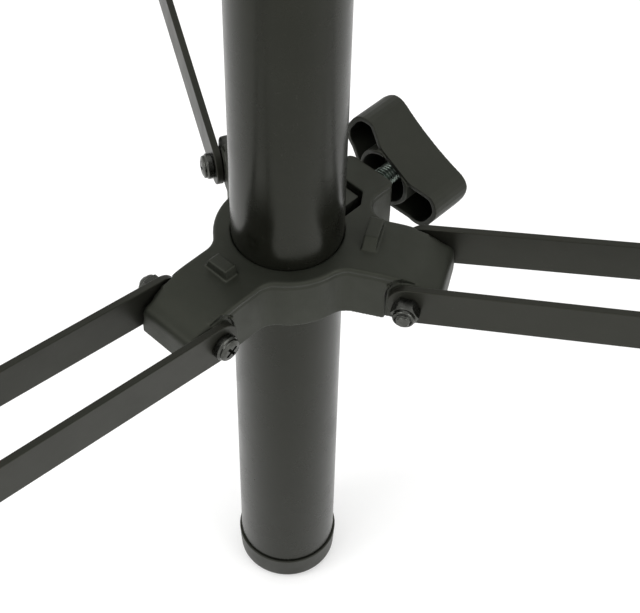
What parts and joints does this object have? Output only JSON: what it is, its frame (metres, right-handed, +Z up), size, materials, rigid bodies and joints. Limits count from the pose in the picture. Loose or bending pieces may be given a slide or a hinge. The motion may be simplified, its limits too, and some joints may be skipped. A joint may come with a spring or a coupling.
{
  "type": "loudspeaker tripod stand",
  "caption": "Folding tripod stand for a loudspeaker: round column with a telescopic pole, hinged tube legs and flat double brace bars on a sliding collar with a wing knob.",
  "frame": {"origin": "centre of the column end cap's underside, on the floor", "axes": "+Z up along the column and pole; the wing knobs point midway between +X and +Y; the nearest pair of legs in the usual view is to the left and right of -Y"},
  "size_m": [0.8916, 0.8916, 1.0118],
  "materials": {
    "column_enamel": "semi-gloss black enamel",
    "leg_enamel": "semi-gloss black enamel",
    "bar_enamel": "satin black enamel",
    "casting_plastic": "matte black glass-filled nylon, fine texture",
    "knob_plastic": "matte black moulded plastic",
    "cap_plastic": "satin black plastic",
    "zinc_steel": "bright zinc plate",
    "black_steel": "black oxide, lightly oiled",
    "brass_insert": "plain brass",
    "nylon": "black nylon",
    "foot_rubber": "matte black rubber"
  },
  "bodies": {
    "column": {"column_tube": "column_enamel", "column_end_cap": "cap_plastic", "leg_hub": "casting_plastic", "leg_hub_bolts": "black_steel", "leg_hub_nuts": "black_steel", "leg_hub_set_screws": "black_steel", "pole_clamp": "casting_plastic", "pole_clamp_insert": "brass_insert"},
    "pole_guide": {"pole_bush": "nylon"},
    "pole": {"pole_tube": "column_enamel", "pole_stop_ring": "cap_plastic", "pole_cap": "cap_plastic"},
    "clamp_pad": {"pole_clamp_pad": "nylon"},
    "clamp_knob": {"pole_clamp_knob": "knob_plastic", "pole_clamp_bolt": "zinc_steel"},
    "collar": {"brace_collar": "casting_plastic", "collar_pivot_screws": "black_steel", "collar_pivot_nuts": "black_steel", "collar_insert": "brass_insert"},
    "collar_pad": {"collar_pad": "nylon"},
    "collar_knob": {"collar_knob": "knob_plastic", "collar_knob_bolt": "zinc_steel"},
    "brace_left": {"brace_left_bar_a": "bar_enamel", "brace_left_bar_b": "bar_enamel", "brace_left_rivets": "black_steel"},
    "leg_left": {"leg_left_tube": "leg_enamel", "leg_left_head": "cap_plastic", "leg_left_saddle": "casting_plastic", "leg_left_pin": "black_steel", "leg_left_foot": "foot_rubber"},
    "brace_right": {"brace_right_bar_a": "bar_enamel", "brace_right_bar_b": "bar_enamel", "brace_right_rivets": "black_steel"},
    "leg_right": {"leg_right_tube": "leg_enamel", "leg_right_head": "cap_plastic", "leg_right_saddle": "casting_plastic", "leg_right_pin": "black_steel", "leg_right_foot": "foot_rubber"},
    "brace_back": {"brace_back_bar_a": "bar_enamel", "brace_back_bar_b": "bar_enamel", "brace_back_rivets": "black_steel"},
    "leg_back": {"leg_back_tube": "leg_enamel", "leg_back_head": "cap_plastic", "leg_back_saddle": "casting_plastic", "leg_back_pin": "black_steel", "leg_back_foot": "foot_rubber"}
  },
  "joints": [
    {"name": "brace_collar_slide", "type": "slide", "parent": "column", "child": "collar", "axis": [0, 0, 1], "range_m": [0, 0.30264]},
    {"name": "collar_pad_slide", "type": "slide", "parent": "collar", "child": "collar_pad", "axis": [0.7071, 0.7071, 0], "range_m": [0, 0.00125]},
    {"name": "collar_knob_turn", "type": "hinge", "parent": "collar_pad", "child": "collar_knob", "pos_m": [0, 0, 0.1905], "axis": [0.7071, 0.7071, 0], "range_deg": [0, 360]},
    {"name": "pole_slide", "type": "slide", "parent": "column", "child": "pole_guide", "axis": [0, 0, 1], "range_m": [0, 0.65]},
    {"name": "pole_swivel", "type": "hinge", "parent": "pole_guide", "child": "pole", "pos_m": [0, 0, 0.9], "axis": [0, 0, 1], "continuous": true},
    {"name": "clamp_pad_slide", "type": "slide", "parent": "column", "child": "clamp_pad", "axis": [0.7071, 0.7071, 0], "range_m": [0, 0.00125]},
    {"name": "clamp_knob_turn", "type": "hinge", "parent": "clamp_pad", "child": "clamp_knob", "pos_m": [0, 0, 0.886], "axis": [0.7071, 0.7071, 0], "range_deg": [0, 360]},
    {"name": "leg_left_hinge", "type": "hinge", "parent": "column", "child": "leg_left", "pos_m": [-0.04525, -0.04525, 0.8], "axis": [0.7071, -0.7071, 0], "range_deg": [0, 27.19]},
    {"name": "brace_left_hinge", "type": "hinge", "parent": "collar", "child": "brace_left", "pos_m": [-0.03288, -0.03288, 0.1907], "axis": [0.7071, -0.7071, 0], "range_deg": [0, 90.69]},
    {"name": "leg_right_hinge", "type": "hinge", "parent": "column", "child": "leg_right", "pos_m": [0.06182, -0.01656, 0.8], "axis": [0.2588, 0.9659, 0], "range_deg": [0, 27.19]},
    {"name": "brace_right_hinge", "type": "hinge", "parent": "collar", "child": "brace_right", "pos_m": [0.04492, -0.01204, 0.1907], "axis": [0.2588, 0.9659, 0], "range_deg": [0, 90.69]},
    {"name": "leg_back_hinge", "type": "hinge", "parent": "column", "child": "leg_back", "pos_m": [-0.01656, 0.06182, 0.8], "axis": [-0.9659, -0.2588, 0], "range_deg": [0, 27.19]},
    {"name": "brace_back_hinge", "type": "hinge", "parent": "collar", "child": "brace_back", "pos_m": [-0.01204, 0.04492, 0.1907], "axis": [-0.9659, -0.2588, 0], "range_deg": [0, 90.69]}
  ],
  "couplings": [
    {"joint": "collar_knob_turn", "follows": "collar_pad_slide", "rad_per_m": 5026.5},
    {"joint": "clamp_knob_turn", "follows": "clamp_pad_slide", "rad_per_m": 5026.5},
    {"joint": "leg_left_hinge", "follows": "brace_collar_slide", "rad_per_m": 1.5668},
    {"joint": "brace_left_hinge", "follows": "brace_collar_slide", "rad_per_m": 5.2291},
    {"joint": "leg_right_hinge", "follows": "brace_collar_slide", "rad_per_m": 1.5668},
    {"joint": "brace_right_hinge", "follows": "brace_collar_slide", "rad_per_m": 5.2291},
    {"joint": "leg_back_hinge", "follows": "brace_collar_slide", "rad_per_m": 1.5668},
    {"joint": "brace_back_hinge", "follows": "brace_collar_slide", "rad_per_m": 5.2291}
  ]
}
